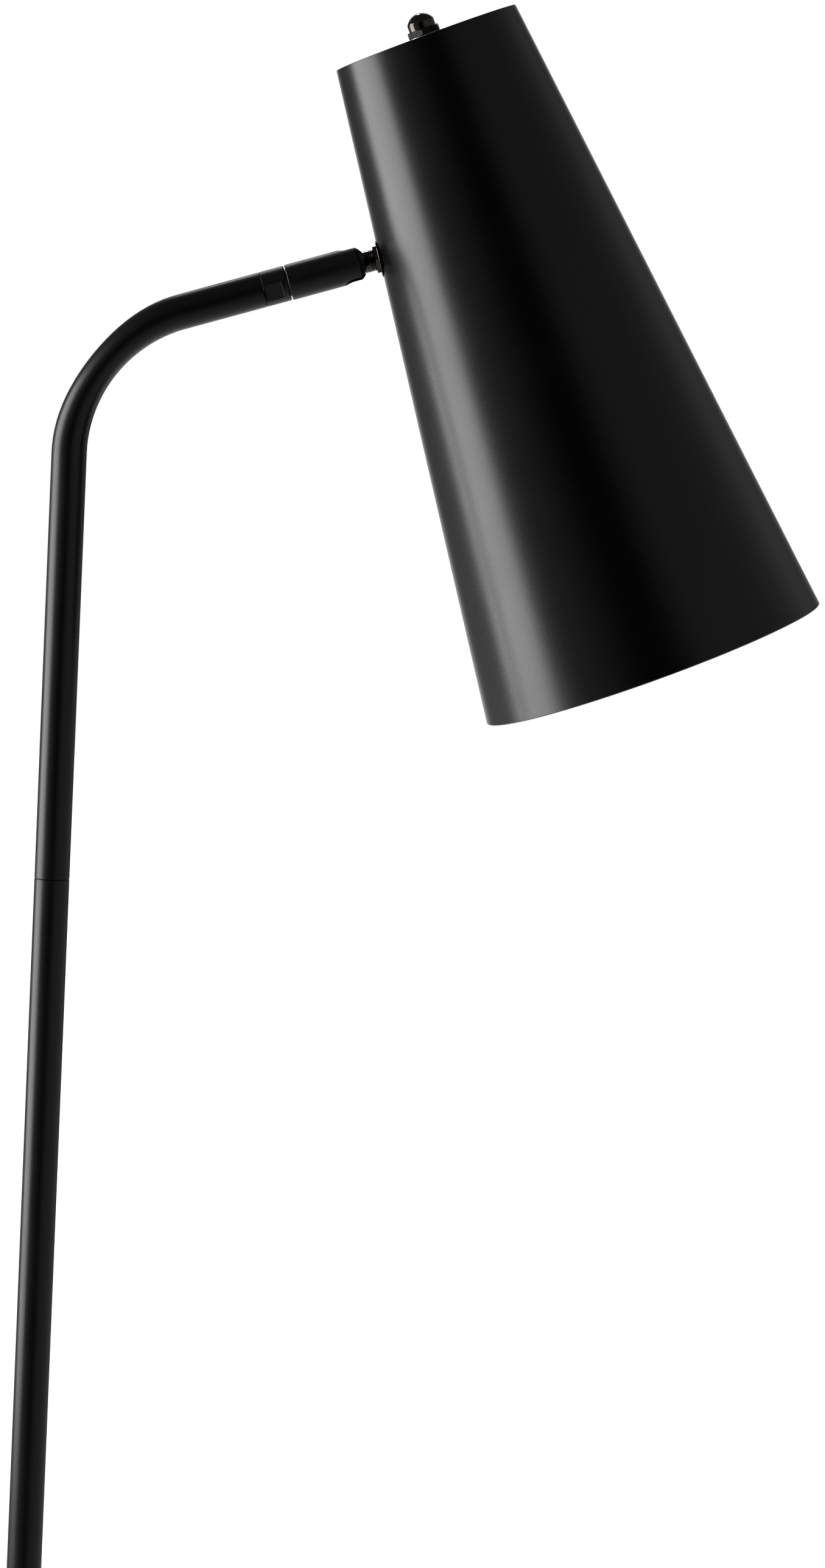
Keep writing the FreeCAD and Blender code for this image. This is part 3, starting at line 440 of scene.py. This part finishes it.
def make_lights():
    head = BALL_CENTRE
    bearing = math.radians(KEY_BEARING)
    key_place = head + Vector((-KEY_AWAY * math.sin(bearing), -KEY_AWAY * math.cos(bearing), KEY_LIFT))
    key_target = Vector((head.x, head.y, key_place.z))
    area_light("key_left", key_place, key_target, (KEY_WIDTH, KEY_HEIGHT), KEY_RADIANCE)
    area_light("top_small", head + TOP_FROM_BALL, head, (TOP_SIZE, TOP_SIZE), TOP_RADIANCE)


def make_floor():
    mesh = bpy.data.meshes.new("floor")
    rim = []
    for side in range(FLOOR_SIDES):
        angle = math.tau * side / FLOOR_SIDES
        rim.append((FLOOR_R * math.cos(angle), FLOOR_R * math.sin(angle), cad_low.z))
    mesh.from_pydata(rim, [], [tuple(range(FLOOR_SIDES))])
    floor = bpy.data.objects.new("floor", mesh)
    bpy.context.scene.collection.objects.link(floor)
    tree = Tree("floor_paper")
    tree.colour(tree.blend(tree.noise(0.6), (0.86, 0.86, 0.86), (0.89, 0.89, 0.89)))
    tree.set("Roughness", 0.9)
    tree.set("Specular IOR Level", 0.1)
    mesh.materials.append(tree.material)
    floor.visible_glossy = False
    floor.visible_diffuse = False
    return floor


def light_floor(floor):
    """A wide soft light from above that reaches only the floor, to keep it pale round the black base."""
    data = bpy.data.lights.new("floor_light", "SUN")
    data.energy = FLOOR_SUN
    data.angle = math.radians(FLOOR_SUN_ANGLE)
    sun = bpy.data.objects.new("floor_light", data)
    bpy.context.scene.collection.objects.link(sun)
    reached = bpy.data.collections.new("floor_only")
    reached.objects.link(floor)
    sun.light_linking.receiver_collection = reached


def world_share(nodes, links, value, start, end):
    """0 where the value is at start and 1 where it is at end, smooth between."""
    node = nodes.new("ShaderNodeMapRange")
    node.interpolation_type = "SMOOTHSTEP"
    links.new(value, node.inputs["Value"])
    node.inputs["From Min"].default_value = start
    node.inputs["From Max"].default_value = end
    return node.outputs["Result"]


def world_mix(nodes, links, share, first, second):
    node = nodes.new("ShaderNodeMix")
    links.new(share, node.inputs["Factor"])
    links.new(first, node.inputs["A"])
    if isinstance(second, bpy.types.NodeSocket):
        links.new(second, node.inputs["B"])
    else:
        node.inputs["B"].default_value = second
    return node.outputs["Result"]


def make_world():
    """White to the camera; to the lamp, a dim room with a white backdrop behind and a pale ground."""
    world = bpy.data.worlds.new("studio")
    bpy.context.scene.world = world
    world.use_nodes = True
    nodes = world.node_tree.nodes
    links = world.node_tree.links
    way = nodes.new("ShaderNodeTexCoord").outputs["Generated"]
    split = nodes.new("ShaderNodeSeparateXYZ")
    links.new(way, split.inputs["Vector"])
    toward_camera = nodes.new("ShaderNodeMath")
    toward_camera.operation = "MULTIPLY"
    links.new(split.outputs["Y"], toward_camera.inputs[0])
    toward_camera.inputs[1].default_value = -1.0
    bearing = nodes.new("ShaderNodeMath")
    bearing.operation = "ARCTAN2"
    links.new(split.outputs["X"], bearing.inputs[0])
    links.new(toward_camera.outputs[0], bearing.inputs[1])
    turn = nodes.new("ShaderNodeMapRange")
    links.new(bearing.outputs[0], turn.inputs["Value"])
    turn.inputs["From Min"].default_value = -math.pi
    turn.inputs["From Max"].default_value = math.pi
    ramp = nodes.new("ShaderNodeValToRGB")
    links.new(turn.outputs["Result"], ramp.inputs["Fac"])
    stops = ramp.color_ramp.elements
    while len(stops) < len(ROOM):
        stops.new(0.5)
    for stop, (degrees, radiance) in zip(stops, ROOM):
        stop.position = (degrees + 180.0) / 360.0
        stop.color = (radiance, radiance, radiance, 1.0)
    round_lamp = nodes.new("ShaderNodeSeparateColor")
    links.new(ramp.outputs["Color"], round_lamp.inputs["Color"])
    above = world_share(nodes, links, split.outputs["Z"], CEILING_START, CEILING_END)
    below = world_share(nodes, links, split.outputs["Z"], GROUND_START, GROUND_END)
    ground = nodes.new("ShaderNodeMath")
    ground.operation = "MULTIPLY_ADD"
    links.new(split.outputs["Y"], ground.inputs[0])
    ground.inputs[1].default_value = GROUND_SLOPE
    ground.inputs[2].default_value = GROUND_MIDDLE
    room = world_mix(nodes, links, above, round_lamp.outputs["Red"], CEILING_RADIANCE)
    room = world_mix(nodes, links, below, room, ground.outputs[0])
    path = nodes.new("ShaderNodeLightPath")
    seen = world_mix(nodes, links, path.outputs["Is Camera Ray"], room, BACKDROP_RADIANCE)
    background = nodes["Background"]
    background.inputs["Color"].default_value = (1.0, 1.0, 1.0, 1.0)
    links.new(seen, background.inputs["Strength"])


make_camera()
dress_nodes()
make_lights()
light_floor(make_floor())
make_world()
bpy.context.scene.view_settings.view_transform = "Standard"
